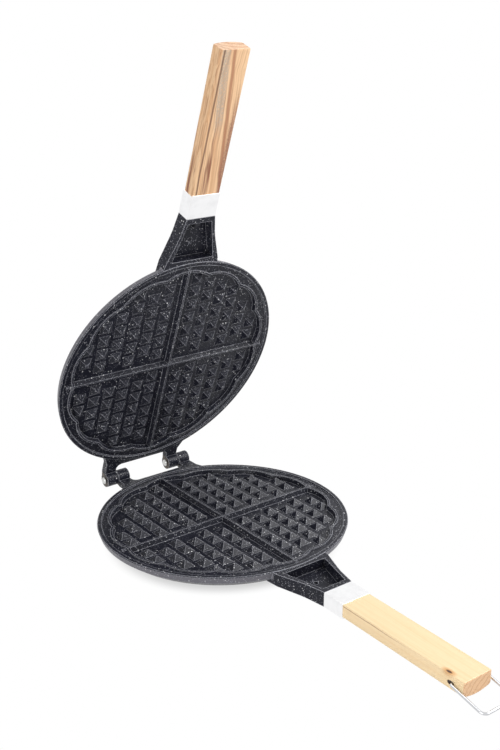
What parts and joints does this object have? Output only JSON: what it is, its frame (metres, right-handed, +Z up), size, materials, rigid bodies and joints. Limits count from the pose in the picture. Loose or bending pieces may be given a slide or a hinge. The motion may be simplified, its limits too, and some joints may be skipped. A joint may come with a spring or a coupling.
{
  "type": "stovetop waffle iron",
  "caption": "Round stovetop waffle iron: two hinged patterned plates with long wooden handles and a wire latch, shown part open.",
  "frame": {"origin": "middle of the lower plate's round underside, on the plane of the stove", "axes": "+X along the hinge to the right, seen from the handle; +Y from the handles to the hinge; +Z up from the stove"},
  "size_m": [0.19, 0.3906, 0.362],
  "materials": {
    "coated_casting": "black stone-effect non-stick coating with fine pale specks, satin",
    "bright_steel": "bright drawn steel",
    "blackened_steel": "steel blackened together with the coat around it",
    "ferrule_metal": "bright satin sheet metal",
    "pale_wood": "pale yellow softwood, thin varnish",
    "tan_wood": "tan streaked softwood, thin varnish",
    "wire": "bright plated steel wire"
  },
  "bodies": {
    "base": {"lower_plate": "coated_casting", "lower_ferrule": "ferrule_metal", "lower_grip": "pale_wood", "lower_handle_stud": "blackened_steel", "lower_lock_washer": "blackened_steel", "lower_handle_nut": "blackened_steel", "left_hinge_pin": "bright_steel", "left_pin_washer": "bright_steel", "right_hinge_pin": "bright_steel", "right_pin_washer": "bright_steel"},
    "lid": {"upper_plate": "coated_casting", "upper_ferrule": "ferrule_metal", "upper_grip": "tan_wood", "upper_handle_stud": "blackened_steel", "upper_lock_washer": "blackened_steel", "upper_handle_nut": "blackened_steel"},
    "bail": {"latch_bail": "wire"}
  },
  "joints": [
    {"name": "lid_hinge", "type": "hinge", "parent": "base", "child": "lid", "pos_m": [0, 0.1095, 0.01635], "axis": [-1, 0, 0], "range_deg": [-68.1, 111.9]},
    {"name": "bail_hinge", "type": "hinge", "parent": "base", "child": "bail", "pos_m": [0, -0.24788, 0.00748], "axis": [-1, 0, 0], "range_deg": [-76, 124]}
  ]
}
